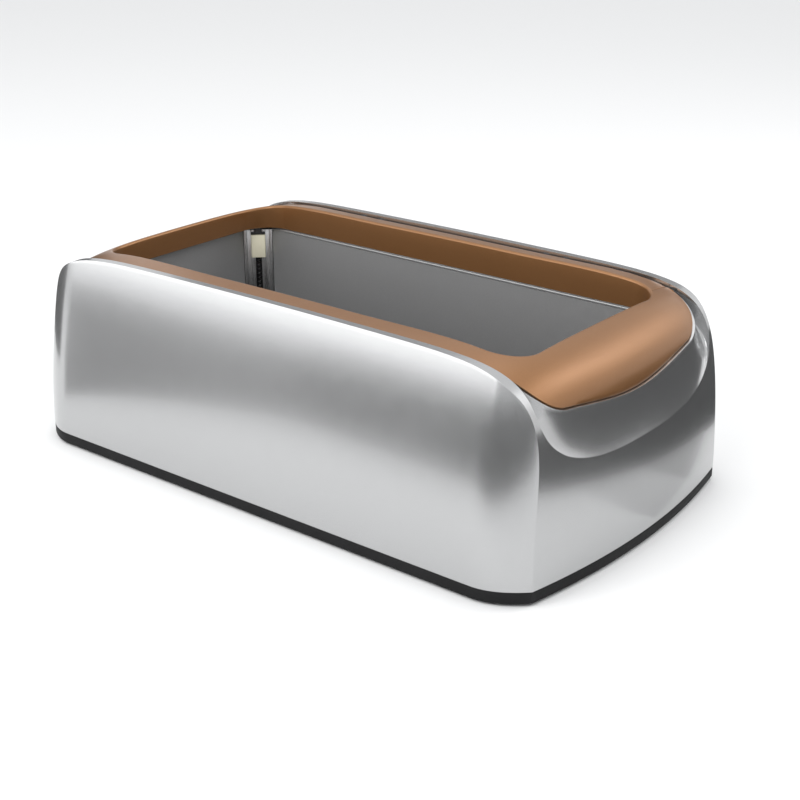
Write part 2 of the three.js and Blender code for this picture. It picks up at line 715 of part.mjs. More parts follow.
const LONG_LINER = WELL_X - RAIL_HALF * Math.SQRT2 - 0.4;
const SHORT_LINER = WELL_Y - RAIL_HALF * Math.SQRT2 - 0.4;
add('liner_panel_far', linerPanel(LONG_LINER, WELL_Y, 0), SATIN);
add('liner_panel_near', linerPanel(LONG_LINER, WELL_Y, Math.PI), SATIN);
add('liner_panel_rear', linerPanel(SHORT_LINER, WELL_X, Math.PI / 2), SATIN);
add('liner_panel_front', linerPanel(SHORT_LINER, WELL_X, -Math.PI / 2), SATIN);

const CORNER_NAMES = ['rear_far', 'front_far', 'front_near', 'rear_near'];
corners().forEach((corner, i) => {
  const place = (piece) => toCorner(geometryOf(piece), corner);
  const name = CORNER_NAMES[i];
  add(`corner_rail_${name}`, place(cornerRail()), ALUMINIUM);
  add(`rail_foot_${name}`, place(railFoot()), BLACK);
  add(`pusher_${name}`, place(pusher()), NYLON);
  add(`pusher_spring_${name}`, place(pusherSpring()), STEEL);
  add(`rail_top_catch_${name}`, place(railTopCatch()), BLACK);
  add(`rail_screw_${name}`, railScrew(corner), STEEL);
  add(`rubber_foot_${name}`, rubberFoot(corner), RUBBER);
});

const SIDE_NAMES = ['rear', 'middle', 'front'];
BASE_SCREW_X.forEach((x, i) => {
  add(`base_screw_${SIDE_NAMES[i]}_far`, baseScrew(x, BASE_SCREW_Y), STEEL);
  add(`base_screw_${SIDE_NAMES[i]}_near`, baseScrew(x, -BASE_SCREW_Y), STEEL);
});

for (const [name, x] of [['rear', -HINGE_X], ['front', HINGE_X]]) {
  const pin = cylinderX(PIN_RADIUS, x - PIN_REACH, x + PIN_REACH, HINGE_Y, HINGE_Z, 10);
  add(`lid_hinge_pin_${name}`, pin, STEEL);
}
for (const [name, x] of [['rear', -MAGNET_X], ['front', MAGNET_X]]) {
  const magnet = cylinderZ(MAGNET_RADIUS, x, MAGNET_Y, MAGNET_TOP - 2.5, MAGNET_TOP);
  const plate = cylinderZ(STRIKE_RADIUS, x, MAGNET_Y, MAGNET_TOP + 0.3, MAGNET_TOP + 1.3);
  add(`lid_magnet_${name}`, magnet, STEEL);
  add(`strike_plate_${name}`, plate, STEEL);
}

export default dispenser;
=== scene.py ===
import bisect
import math

import bmesh
import bpy
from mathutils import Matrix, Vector


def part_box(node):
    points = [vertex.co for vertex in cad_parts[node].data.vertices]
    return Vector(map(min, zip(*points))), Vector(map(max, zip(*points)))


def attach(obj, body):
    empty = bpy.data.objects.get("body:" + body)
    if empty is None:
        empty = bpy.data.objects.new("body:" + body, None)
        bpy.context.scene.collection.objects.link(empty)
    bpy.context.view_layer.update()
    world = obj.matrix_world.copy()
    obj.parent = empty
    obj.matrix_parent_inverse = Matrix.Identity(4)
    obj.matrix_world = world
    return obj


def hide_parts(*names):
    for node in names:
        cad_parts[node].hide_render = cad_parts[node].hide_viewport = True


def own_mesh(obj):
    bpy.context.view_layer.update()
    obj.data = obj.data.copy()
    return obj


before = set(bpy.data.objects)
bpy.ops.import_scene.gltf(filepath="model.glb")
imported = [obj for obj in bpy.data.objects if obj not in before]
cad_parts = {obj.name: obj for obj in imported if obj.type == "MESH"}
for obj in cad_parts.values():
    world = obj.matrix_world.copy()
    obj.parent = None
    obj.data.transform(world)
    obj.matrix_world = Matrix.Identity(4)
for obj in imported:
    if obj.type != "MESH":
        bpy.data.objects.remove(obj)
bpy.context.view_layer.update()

# Automatic shoe cover dispenser. Curves and sizes are in millimetres, as in the CAD source, and meshes
# are scaled to metres when they are made.

MM = 0.001

CORNER_X, CORNER_Y, END_BULGE = 204.0, 106.6, 11.0
HALF_WIDTH, STRAIGHT_X, SIDE_LEAN, LEAN_POWER = 122.5, 172.5, 20.0, 1.8
BASE_BOTTOM, BASE_FLOOR, BASE_TOP, SHELL_BOTTOM, HOOP_Z = 1.2, 5.0, 9.0, 9.3, 135.2
GROOVE_HALF, GROOVE_SHOULDER_Z, GROOVE_BOTTOM_Z = 97.2, 115.0, 72.5
LIP_X, LIP_Z, LID_HALF, LID_PLATE, SEAT_DROP = 202.1, 99.5, 96.0, 3.0, 4.2
RIM_X, RIM_Y, RIM_RADIUS, SKIRT, SKIRT_BOTTOM = 172.0, 81.1, 22.0, 2.3, 115.0
STRIP_END, STRIP_INNER, STRIP_THICK = 166.0, 83.8, 1.2
STRIP_END_GAP, STRIP_SIDE_GAP, STRIP_DROP = 1.1, 0.5, 0.35
HINGE_X, HINGE_Y, HINGE_Z, EDGE_RADIUS, TROUGH_RADIUS = 80.0, 92.3, 131.2, 3.4, 5.2
HINGE_TROUGH_END = 172.0
LUG_RADIUS, LUG_HALF, LUG_OFFSET, KNUCKLE_RADIUS, KNUCKLE_HALF = 1.9, 2.5, 8.0, 2.0, 5.0
LUGS = tuple(hinge + side for hinge in (-HINGE_X, HINGE_X) for side in (-LUG_OFFSET, LUG_OFFSET))
LID_BOW, LID_REACH_X = 3.5, 202.9
LIP_GAP, LIP_GAP_TURN, LIP_RISE, LIP_WIDTH, RIM_BEAD = 1.2, 0.4, 2.9, 2.6, 1.7
OPENING_X, OPENING_Y, OPENING_RADIUS = 186.0, 87.0, 12.0
WELL_X, WELL_Y, LINER, LINER_TOP, LINER_FLANGE = 182.0, 83.4, 1.2, 115.1, 2.8
RAIL_HALF, RAIL_SCREW_INSET = 11.0, 4.0
TRAY_SCREW_X, TRAY_SCREW_Y, FOOT_X, FOOT_Y = 120.0, 111.0, 150.0, 100.0
TURN_X = 150.0  # the corner stretch of every ring starts here
SCOOP_ROWS, CREASE_ROW = 16, 14  # rows of the channel, and the row of the hoop that is its edge
TOP_ROWS, SEAT_ROWS, PANEL_ROWS = 26, 8, 34
CORNERS = {"rear_far": (-1, 1), "front_far": (1, 1), "front_near": (1, -1), "rear_near": (-1, -1)}

# ---------------------------------------------------------------- camera

camera = bpy.data.objects.new("camera", bpy.data.cameras.new("camera"))
bpy.context.scene.collection.objects.link(camera)
bpy.context.scene.camera = camera
camera.data.lens = 65.93
camera.data.sensor_width = 36
camera.data.clip_start = 0.01
camera.data.clip_end = 100
camera.location = (0.59036, -0.70906, 0.41289)
aim = Vector((0.06016, -0.04357, 0.068)) - camera.location
camera.rotation_euler = aim.to_track_quat("-Z", "Y").to_euler()

# ---------------------------------------------------------------- curves


def lerp(a, b, t):
    return tuple(p + (q - p) * t for p, q in zip(a, b))


def bezier(points, t):
    while len(points) > 1:
        points = [lerp(a, b, t) for a, b in zip(points, points[1:])]
    return points[0]


def smooth(t):
    t = min(1.0, max(0.0, t))
    return t * t * (3 - 2 * t)


class Path:
    """A polyline that is read by arc length."""

    def __init__(self, points):
        self.points = points
        self.marks = [0.0]
        for a, b in zip(points, points[1:]):
            self.marks.append(self.marks[-1] + math.dist(a, b))
        self.length = self.marks[-1]

    def at(self, s):
        s = min(max(s, 0.0), self.length)
        i = min(max(bisect.bisect_right(self.marks, s) - 1, 0), len(self.points) - 2)
        span = self.marks[i + 1] - self.marks[i]
        return lerp(self.points[i], self.points[i + 1], (s - self.marks[i]) / span if span else 0)

    def spread(self, count):
        return [self.at(self.length * i / count) for i in range(count + 1)]


def reach(path, axis, value):
    """Arc length at which a coordinate of the path passes a value."""
    low, high = 0.0, path.length
    rising = path.points[-1][axis] > path.points[0][axis]
    for _ in range(40):
        middle = (low + high) / 2
        if (path.at(middle)[axis] < value) == rising:
            low = middle
        else:
            high = middle
    return (low + high) / 2


def half_profile(crown, shoulder, tail):
    points = [bezier(crown, 0.5 + i / 40) for i in range(20)]
    points += [bezier(shoulder, i / 160) for i in range(161)]
    return Path(points + tail)


HOOP = half_profile(
    [(-100, 135.2), (0, 136.5), (100, 135.2)],
    [(100, 135.2), (202, 133.9), (200.5, 130), (204, 20)],
    [(204, 14.5), (204, SHELL_BOTTOM)],
)
LID = half_profile(
    [(-60, 136), (0, 136.4), (60, 136)],
    [(60, 136), (150, 136.4), (195.5, 142), (LIP_X, LIP_Z)],
    [(LIP_X, LIP_Z - 1)],
)
LID_END = reach(LID, 1, LIP_Z)

# ---------------------------------------------------------------- body surfaces


def side_y(x, z):
    rise = max(0.0, z - BASE_TOP) / (HOOP_Z - BASE_TOP)
    past = max(0.0, abs(x) - STRAIGHT_X) / (CORNER_X - STRAIGHT_X)
    return HALF_WIDTH - SIDE_LEAN * rise**LEAN_POWER - (HALF_WIDTH - CORNER_Y) * past**2


def hoop_point(s, y):
    x, z = HOOP.at(s)
    across = 1 - (y / CORNER_Y) ** 2
    return (x + END_BULGE * across * (x / CORNER_X) ** 4, y, z)


def crease_y(s):
    y = CORNER_Y
    for _ in range(10):
        x, _, z = hoop_point(s, y)
        y = side_y(x, z)
    return y


def groove_point(angle):
    """A point of the channel's section, as y and z. The angle is 0 at the wall and 90 degrees at the bottom."""
    y = GROOVE_HALF * max(0.0, math.cos(angle)) ** (2 / 3.3)
    z = GROOVE_SHOULDER_Z - (GROOVE_SHOULDER_Z - GROOVE_BOTTOM_Z) * math.sin(angle) ** (2 / 2.5)
    return y, z


def groove_crease(angle):
    """The channel's edge on the hoop surface, as arc length and y."""
    y, z = groove_point(angle)
    return (reach(HOOP, 1, z), y)


# ---------------------------------------------------------------- lid surface


def lid_point(s, y):
    x, z = LID.at(s)
    crown = 1.2 + 2.8 * (x / 180) ** 3
    x -= LID_BOW * (y / 80) ** 2 * (x / LIP_X) ** 4
    return (x, y, z - crown * (abs(y) / 94) ** 4)


def lid_reach(x, y):
    """Arc length at which the lid's surface passes a place in plan."""
    low, high = 0.0, LID_END
    for _ in range(30):
        middle = (low + high) / 2
        if lid_point(middle, y)[0] < x:
            low = middle
        else:
            high = middle
    return (low + high) / 2


OUTLINE_CORNER = [(TURN_X, LID_HALF), (183.5, LID_HALF), (193.5, 91.5), (197.2, 71.0)]
OUTLINE_END = [(197.2, 71.0), (207.0, 0.0), (197.2, -71.0)]

# ---------------------------------------------------------------- rings

COUNT_A, COUNT_B, COUNT_C = 16, 44, 22
CREASE_CORNER = math.radians(52)


def quarter(side, corner, end):
    """One quadrant of a ring, from x = 0 on the +Y side to y = 0 at the +X end, as places on three curves."""
    a = Path(side).spread(COUNT_A)
    b = Path(corner).spread(COUNT_B)
    c = Path(end).spread(COUNT_C)
    return a + b[1:] + c[1:]


def full_ring(points):
    """Mirrors a quadrant into a closed ring: +X +Y, +X -Y, -X -Y, -X +Y."""
    back = [(x, -y, z) for x, y, z in reversed(points[:-1])]
    half = points + back
    other = [(-x, y, z) for x, y, z in reversed(half[1:-1])]
    return half + other


def outer_quarter():
    turn = reach(HOOP, 0, TURN_X)
    side = [(turn * i / 30, crease_y(turn * i / 30)) for i in range(31)]
    drop = HOOP.length - turn
    corner = [(turn + drop * i / 120, crease_y(turn + drop * i / 120)) for i in range(121)]
    end = [(HOOP.length, CORNER_Y * (1 - i / 30)) for i in range(31)]
    return quarter(side, corner, end)


def crease_quarter():
    turn = reach(HOOP, 0, TURN_X)
    shoulder = reach(HOOP, 1, GROOVE_SHOULDER_Z)
    side = [(turn * i / 30, GROOVE_HALF) for i in range(31)]
    corner = [(turn + (shoulder - turn) * i / 40, GROOVE_HALF) for i in range(40)]
    corner += [groove_crease(CREASE_CORNER * i / 60) for i in range(61)]
    rest = math.pi / 2 - CREASE_CORNER
    end = [groove_crease(CREASE_CORNER + rest * i / 60) for i in range(61)]
    return quarter(side, corner, end)


def lid_outline_quarter():
    side = [(TURN_X * i / 30, LID_HALF) for i in range(31)]
    corner = [bezier(OUTLINE_CORNER, i / 60) for i in range(61)]
    end = [bezier(OUTLINE_END, i / 120) for i in range(61)]
    return quarter(side, corner, end)


def rounded_quarter(half_x, half_y, radius):
    side = [(TURN_X * i / 30, half_y) for i in range(31)]
    cx, cy = half_x - radius, half_y - radius
    angles = [math.pi * i / 80 for i in range(41)]
    arc = [(cx + radius * math.sin(angle), cy + radius * math.cos(angle)) for angle in angles]
    corner = ([(TURN_X, half_y)] if cx > TURN_X + 0.01 else []) + arc
    end = [(half_x, cy * (1 - i / 30)) for i in range(31)]
    return quarter(side, corner, end)


def plan_normals(points):
    """Outward unit normals in plan of a quadrant of places."""
    normals = []
    for i, (x, y) in enumerate(points):
        before = points[i - 1] if i else (-points[1][0], points[1][1])
        after = points[i + 1] if i + 1 < len(points) else (points[-2][0], -points[-2][1])
        dx, dy = after[0] - before[0], after[1] - before[1]
        size = math.hypot(dx, dy) or 1.0
        normals.append((-dy / size, dx / size))
    return [(-nx, -ny) if nx * x + ny * y < 0 else (nx, ny) for (nx, ny), (x, y) in zip(normals, points)]


# ---------------------------------------------------------------- meshes


class Builder:
    """Collects vertices and faces of one piece."""

    def __init__(self):
        self.verts = []
        self.faces = []

    def add(self, points):
        start = len(self.verts)
        self.verts += [tuple(p) for p in points]
        return list(range(start, len(self.verts)))

    def bridge(self, a, b, closed=True):
        count = len(a)
        for i in range(count if closed else count - 1):
            j = (i + 1) % count
            self.faces.append((a[i], a[j], b[j], b[i]))

    def rings(self, rings, closed=True):
        rows = [self.add(ring) for ring in rings]
        for a, b in zip(rows, rows[1:]):
            self.bridge(a, b, closed)
        return rows

    def object(self, name, weld=0.002):
        mesh = bpy.data.meshes.new(name)
        mesh.from_pydata([(x * MM, y * MM, z * MM) for x, y, z in self.verts], [], self.faces)
        bm = bmesh.new()
        bm.from_mesh(mesh)
        bmesh.ops.remove_doubles(bm, verts=bm.verts, dist=weld * MM)
        bmesh.ops.dissolve_degenerate(bm, edges=bm.edges, dist=weld * MM)
        bmesh.ops.recalc_face_normals(bm, faces=bm.faces)
        bm.to_mesh(mesh)
        bm.free()
        mesh.validate()
        piece = bpy.data.objects.new(name, mesh)
        bpy.context.scene.collection.objects.link(piece)
        return piece


def bake(piece):
    """Applies every modifier of a piece."""
    graph = bpy.context.evaluated_depsgraph_get()
    mesh = bpy.data.meshes.new_from_object(piece.evaluated_get(graph))
    piece.modifiers.clear()
    piece.data = mesh
    return piece


def shade(piece, degrees=35):
    """Smooth shading, with edges sharper than the given angle kept sharp."""
    mesh = piece.data
    bm = bmesh.new()
    bm.from_mesh(mesh)
    limit = math.radians(degrees)
    for edge in bm.edges:
        edge.smooth = len(edge.link_faces) != 2 or edge.calc_face_angle(0.0) < limit
    for face in bm.faces:
        face.smooth = True
    bm.to_mesh(mesh)
    bm.free()
    return piece


def bevel(piece, width, segments=3, degrees=30, weighted=False):
    modifier = piece.modifiers.new("bevel", "BEVEL")
    modifier.width = width * MM
    modifier.segments = segments
    modifier.limit_method = "WEIGHT" if weighted else "ANGLE"
    modifier.angle_limit = math.radians(degrees)
    modifier.use_clamp_overlap = True
    modifier.harden_normals = False
    return bake(piece)


def edges_on(piece, ring):
    """The edges whose two ends both lie on a ring of places."""
    marks = {tuple(round(c, 2) for c in place) for place in ring}
    hit = [tuple(round(c, 2) for c in v.co / MM) in marks for v in piece.data.vertices]
    return [edge for edge in piece.data.edges if hit[edge.vertices[0]] and hit[edge.vertices[1]]]


def weigh_edges(piece, ring, weight):
    """Gives a bevel weight to the edges on a ring."""
    attributes, name = piece.data.attributes, "bevel_weight_edge"
    layer = attributes.get(name) or attributes.new(name, "FLOAT", "EDGE")
    for edge in edges_on(piece, ring):
        layer.data[edge.index].value = weight


def cut(piece, cutter):
    modifier = piece.modifiers.new("cut", "BOOLEAN")
    modifier.operation = "DIFFERENCE"
    modifier.solver = "EXACT"
    modifier.object = cutter
    bake(piece)
    bpy.data.objects.remove(cutter)
    return piece


def circle(radius, x, y, count=40):
    return [(x + radius * math.cos(2 * math.pi * i / count), y + radius * math.sin(2 * math.pi * i / count))
            for i in range(count)]


def cylinder_along_x(made, radius, x0, x1, y, z, count=28):
    edge = 0.25
    rows = []
    for x, r in ((x0, radius - edge), (x0 + edge, radius), (x1 - edge, radius), (x1, radius - edge)):
        rows.append([(x, y + r * math.cos(2 * math.pi * i / count), z + r * math.sin(2 * math.pi * i / count))
                     for i in range(count)])
    made_rows = made.rings(rows)
    made.faces.append(tuple(made_rows[0]))
    made.faces.append(tuple(made_rows[-1]))


def block(made, x0, x1, y0, y1, z0, z1):
    low = made.add([(x0, y0, z0), (x1, y0, z0), (x1, y1, z0), (x0, y1, z0)])
    high = made.add([(x0, y0, z1), (x1, y0, z1), (x1, y1, z1), (x0, y1, z1)])
    made.bridge(low, high)
    made.faces.append(tuple(low))
    made.faces.append(tuple(high))


# ---------------------------------------------------------------- shell


def lid_edge_heights(outline):
    return [lid_point(lid_reach(x, y), y)[2] for x, y in outline]


def lip_quarter():
    """The shell's lip: just outside the lid's edge in plan, and just under it."""
    outline = lid_outline_quarter()
    normals = plan_normals(outline)
    heights = lid_edge_heights(outline)
    points = []
    for i, ((x, y), (nx, ny), z) in enumerate(zip(outline, normals, heights)):
        turn = smooth((i - COUNT_A) / 10)
        grow = LIP_GAP + LIP_GAP_TURN * turn
        points.append((x + nx * grow, min(GROOVE_HALF, y + ny * grow), z - SEAT_DROP + LIP_RISE * turn))
    return points


def channel_rows(crease, lip, count):
    """Rows from the channel's edge down its wall, through a valley and up to the lip.

    At the ends there is no valley: the scoop climbs from its crease straight to the lip.
    """
    rows = []
    for step in range(1, count + 1):
        t = step / count
        row = []
        for p, q in zip(crease, lip):
            gap = math.hypot(q[0] - p[0], q[1] - p[1])
            climb = max(0.0, q[2] - p[2])
            high = smooth((p[2] - GROOVE_BOTTOM_Z) / 30)
            valley = 0.95 * gap * high
            near, far = 0.38 - 0.32 * high, 0.2 + 0.04 * high
            first = (p[0] + (q[0] - p[0]) * near, p[1] + (q[1] - p[1]) * near,
                     p[2] - valley + 0.22 * climb * (1 - high))
            second = (q[0] - (q[0] - p[0]) * far, q[1] - (q[1] - p[1]) * far,
                      q[2] - 0.45 * climb - 0.8 * valley)
            row.append(bezier([p, first, second, q], t))
        rows.append(row)
    return rows


def trough_radius(x):
    """Radius of the trough round the lid's hinge. It fades into the channel's wall near its ends."""
    return TROUGH_RADIUS - 0.5 * smooth((abs(x) - 156) / 14)


def hinge_trough(point):
    """Pushes a point of the far side out of the trough."""
    x, y, z = point
    radius = trough_radius(x)
    dy, dz = y - HINGE_Y, z - HINGE_Z
    if abs(x) > HINGE_TROUGH_END or math.hypot(dy, dz) >= radius:
        return point
    if y > GROOVE_HALF - 0.5:
        return (x, HINGE_Y + math.sqrt(radius**2 - dz * dz), z)
    return (x, y, HINGE_Z - math.sqrt(max(0.0, radius**2 - dy * dy)))


def seat_height(x, y):
    """Height of the seat under the lid. Past the lid's end it is level."""
    s = lid_reach(min(abs(x) + LID_BOW, LID_REACH_X), y)
    return lid_point(s, y)[2] - SEAT_DROP


def shell_rings():
    outer, crease = outer_quarter(), crease_quarter()
    rings = []
    for step in range(CREASE_ROW + 1):
        t = step / CREASE_ROW
        rings.append([hoop_point(*lerp(p, q, t)) for p, q in zip(outer, crease)])
    lip = lip_quarter()
    rings += channel_rows(rings[-1], lip, SCOOP_ROWS)
    normals = plan_normals([(x, y) for x, y, _ in lip])
    inner = [(x - nx * LIP_WIDTH, y - ny * LIP_WIDTH, z) for (x, y, z), (nx, ny) in zip(lip, normals)]
    rings.append(inner)
    opening = rounded_quarter(OPENING_X, OPENING_Y, OPENING_RADIUS)
    floor = [seat_height(x, y) for x, y, _ in inner]
    rings.append([(x, y, min(z - 0.2, h + 0.2)) for (x, y, z), h in zip(inner, floor)])
    for step in range(1, SEAT_ROWS + 1):
        t = step / SEAT_ROWS
        ring = []
        for (x, y, _), (ox, oy) in zip(inner, opening):
            px, py = x + (ox - x) * t, y + (oy - y) * t
            ring.append((px, py, seat_height(px, py)))
        rings.append(ring)
    bottom, wall = SKIRT_BOTTOM + 0.6, 2.2
    rings.append([(x, y, bottom) for x, y in opening])
    normals = plan_normals(opening)
    rings.append([(x + nx * wall, y + ny * wall, bottom) for (x, y), (nx, ny) in zip(opening, normals)])
    return [full_ring(ring) for ring in rings]


def side_panel(made, border, sign):
    """Fills a side panel under its crease.

    The border runs from one bottom corner over the top to the other. The inside is a blend of its four sides.
    """
    rows_up = PANEL_ROWS
    columns = len(border) - 1 - 2 * rows_up
    right = border[: rows_up + 1]
    top = border[rows_up: rows_up + columns + 1]
    left = list(reversed(border[rows_up + columns:]))
    xs = [top[i][0] for i in range(columns + 1)]
    grid = []
    for j in range(rows_up + 1):
        v = j / rows_up
        row = []
        for i in range(columns + 1):
            u = i / columns
            if j == rows_up:
                row.append(top[i])
                continue
            if i == 0:
                row.append(right[j])
                continue
            if i == columns:
                row.append(left[j])
                continue
            bottom_x = right[0][0] + (left[0][0] - right[0][0]) * (xs[0] - xs[i]) / (xs[0] - xs[-1])
            x = (1 - v) * bottom_x + v * top[i][0] + (1 - u) * right[j][0] + u * left[j][0]
            x -= ((1 - u) * ((1 - v) * right[0][0] + v * top[0][0])
                  + u * ((1 - v) * left[0][0] + v * top[-1][0]))
            z = (1 - v) * SHELL_BOTTOM + v * top[i][2] + (1 - u) * right[j][2] + u * left[j][2]
            z -= ((1 - u) * ((1 - v) * SHELL_BOTTOM + v * top[0][2])
                  + u * ((1 - v) * SHELL_BOTTOM + v * top[-1][2]))
            row.append((x, sign * side_y(x, z), z))
        grid.append(row)
    made.rings(grid, closed=False)


def make_shell():
    made = Builder()
    rings = shell_rings()
    outer = rings[0]
    rings = [outer] + [[hinge_trough(p) if p[1] > 0 else p for p in ring] for ring in rings[1:]]
    made.rings(rings)
    along = COUNT_A + COUNT_B
    total = len(outer)
    half = total // 2
    far = [outer[i % total] for i in range(along, -1, -1)] + [outer[total - i] for i in range(1, along + 1)]
    near = [outer[half - along + i] for i in range(2 * along + 1)]
    side_panel(made, far, 1)
    side_panel(made, near, -1)
    for x in LUGS:
        cylinder_along_x(made, LUG_RADIUS, x - LUG_HALF, x + LUG_HALF, HINGE_Y, HINGE_Z)
        block(made, x - 2.4, x + 2.4, HINGE_Y - 1.8, HINGE_Y + 1.0, 124.2, HINGE_Z - 0.4)
    shell = made.object("outer_shell_skin")
    lip_row = CREASE_ROW + SCOOP_ROWS
    for row, weight in ((0, 1.0), (lip_row, 0.5), (lip_row + 1, 0.5)):
        weigh_edges(shell, rings[row], weight)
    bevel(shell, 0.55, 4, weighted=True)
    shade(shell, 24)
    for edge in edges_on(shell, rings[CREASE_ROW]):
        edge.use_edge_sharp = True
    return shell


# ---------------------------------------------------------------- lid


def lid_normal(s, y):
    a, b = Vector(lid_point(s + 0.4, y)), Vector(lid_point(s - 0.4, y))
    c, d = Vector(lid_point(s, y + 0.4)), Vector(lid_point(s, y - 0.4))
    normal = (a - b).cross(c - d)
    return normal.normalized() if normal.z > 0 else -normal.normalized()


def hinge_edge(point):
    """Rounds the far edge of the lid about its hinge."""
    x, y, z = point
    dy, dz = y - HINGE_Y, z - HINGE_Z
    away = math.hypot(dy, dz)
    limit = EDGE_RADIUS if dz > 0 else trough_radius(x) - 0.6
    if dy <= 0 or away <= limit or (dz <= 0 and abs(x) > HINGE_TROUGH_END):
        return point
    return (x, HINGE_Y + dy * limit / away, HINGE_Z + dz * limit / away)


def lid_rings():
    inner = rounded_quarter(RIM_X, RIM_Y, RIM_RADIUS)
    outline = lid_outline_quarter()
    normals = plan_normals(inner)
    start = [(x + nx * RIM_BEAD, y + ny * RIM_BEAD) for (x, y), (nx, ny) in zip(inner, normals)]
    first = [(lid_reach(x, y), y) for x, y in start]
    last = [(lid_reach(x, y), y) for x, y in outline]
    top = []
    for step in range(TOP_ROWS + 1):
        t = step / TOP_ROWS
        top.append([lid_point(*lerp(p, q, t)) for p, q in zip(first, last)])
    rings = []
    low = [p[2] for p in top[0]]
    rings.append([(x, y, SKIRT_BOTTOM + 0.4) for x, y in inner])
    for height in (121.0, 126.0):
        rings.append([(x, y, height) for x, y in inner])
    bead_steps = 7
    for step in range(bead_steps):
        angle = math.pi / 2 * step / bead_steps
        out, down = RIM_BEAD * (1 - math.cos(angle)), RIM_BEAD * (1 - math.sin(angle))
        rings.append([(x + nx * out, y + ny * out, z - down)
                      for (x, y), (nx, ny), z in zip(inner, normals, low)])
    rings += top
    outward = plan_normals(outline)
    for inset, drop in ((0.15, 0.55), (0.7, 0.95), (1.3, 1.1), (1.5, LID_PLATE)):
        rings.append([(x - nx * inset, y - ny * inset, p[2] - drop)
                      for (x, y), (nx, ny), p in zip(outline, outward, top[-1])])
    for step in range(21, 1, -3):
        t = step / TOP_ROWS
        ring = []
        for p, q in zip(first, last):
            place = lerp(p, q, t)
            point = Vector(lid_point(*place)) - lid_normal(*place) * LID_PLATE
            ring.append(tuple(point))
        rings.append(ring)
    skirt = [(x + nx * SKIRT, y + ny * SKIRT) for (x, y), (nx, ny) in zip(inner, normals)]
    rings.append([(x, y, z - LID_PLATE) for (x, y), z in zip(skirt, low)])
    rings.append([(x, y, SKIRT_BOTTOM + 0.4) for x, y in skirt])
    for out in (SKIRT - 0.4, 0.4):
        rings.append([(x + nx * out, y + ny * out, SKIRT_BOTTOM) for (x, y), (nx, ny) in zip(inner, normals)])
    rings.append(rings[0])
    return [full_ring(ring) for ring in rings]


def strip_surface(x, y, drop):
    _, y, z = hinge_edge((x, y, lid_point(lid_reach(abs(x), y), y)[2]))
    return (x, y, z - drop)


def strip_outer_y(x):
    if abs(x) <= TURN_X:
        return LID_HALF
    path = Path([bezier(OUTLINE_CORNER, i / 60) for i in range(61)])
    return path.at(reach(path, 0, abs(x)))[1]


def strip_inner_y(x, margin):
    """Inner edge of the strip, which keeps its distance from the rim round the corners."""
    radius = RIM_RADIUS + STRIP_INNER - RIM_Y - margin
    past = abs(x) - (RIM_X - RIM_RADIUS)
    return RIM_Y - RIM_RADIUS + (math.sqrt(radius**2 - past**2) if past > 0 else radius)


def strip_grid(end, margin, top_drop, bottom_drop, lift=0.0):
    """A closed slab under the lid's far edge, between two depths below its surface."""
    made = Builder()
    columns, rows = 110, 12
    top, bottom = [], []
    for j in range(rows + 1):
        v = j / rows
        upper, lower = [], []
        for i in range(columns + 1):
            x = -end + 2 * end * i / columns
            outer, inner = strip_outer_y(x) + lift, strip_inner_y(x, margin)
            y = inner + (outer - inner) * v
            upper.append(strip_surface(x, y, top_drop))
            lower.append(strip_surface(x, y, bottom_drop))
        top.append(upper)
        bottom.append(lower)
    high = made.rings(top, closed=False)
    deep = made.rings(bottom, closed=False)
    made.bridge(high[0], deep[0], closed=False)
    made.bridge(high[-1], deep[-1], closed=False)
    made.bridge([r[0] for r in high], [r[0] for r in deep], closed=False)
    made.bridge([r[-1] for r in high], [r[-1] for r in deep], closed=False)
    return made


def lug_notches():
    """Room under the lid's far edge for the shell's hinge lugs, at every angle of the lid."""
    made = Builder()
    for x in LUGS:
        block(made, x - 2.8, x + 2.8, HINGE_Y - 2.1, HINGE_Y + 7, HINGE_Z - 14, HINGE_Z + 2.15)
    return made.object("lug_notches")


def make_lid():
    made = Builder()
    made.rings([[hinge_edge(p) if p[1] > 0 else p for p in ring] for ring in lid_rings()])
    lid = made.object("lid_frame_skin")
    recess = strip_grid(STRIP_END + STRIP_END_GAP, STRIP_SIDE_GAP, -6, STRIP_THICK + 0.3, lift=6)
    cut(lid, recess.object("recess"))
    cut(lid, lug_notches())
    knuckles = Builder()
    for x in (-HINGE_X, HINGE_X):
        cylinder_along_x(knuckles, KNUCKLE_RADIUS, x - KNUCKLE_HALF, x + KNUCKLE_HALF, HINGE_Y, HINGE_Z)
        block(knuckles, x - 4.9, x + 4.9, HINGE_Y - 1.9, HINGE_Y - 0.2, HINGE_Z, HINGE_Z + 1.5)
    eyes = knuckles.object("lid_hinge_knuckles")
    return shade(lid, 32), shade(eyes, 35)


def make_strip():
    strip = strip_grid(STRIP_END, 0, STRIP_DROP, STRIP_THICK).object("lid_side_strip_skin")
    bevel(strip, 0.22, 2, degrees=50)
    cut(strip, lug_notches())
    return shade(strip, 40)


# ---------------------------------------------------------------- base, liners, rails


def footprint(inset):
    x, y, side = CORNER_X - inset, CORNER_Y - inset, HALF_WIDTH - inset
    turn = (STRAIGHT_X + CORNER_X) / 2
    quad = [(STRAIGHT_X * i / 12, side) for i in range(12)]
    quad += [bezier([(STRAIGHT_X, side), (turn, side), (x, y)], i / 20) for i in range(20)]
    quad += [bezier([(x, y), (x + 2 * END_BULGE, 0), (x, -y)], i / 48) for i in range(25)]
    points = quad + [(px, -py) for px, py in reversed(quad[:-1])]
    return points + [(-px, py) for px, py in reversed(points[1:-1])]


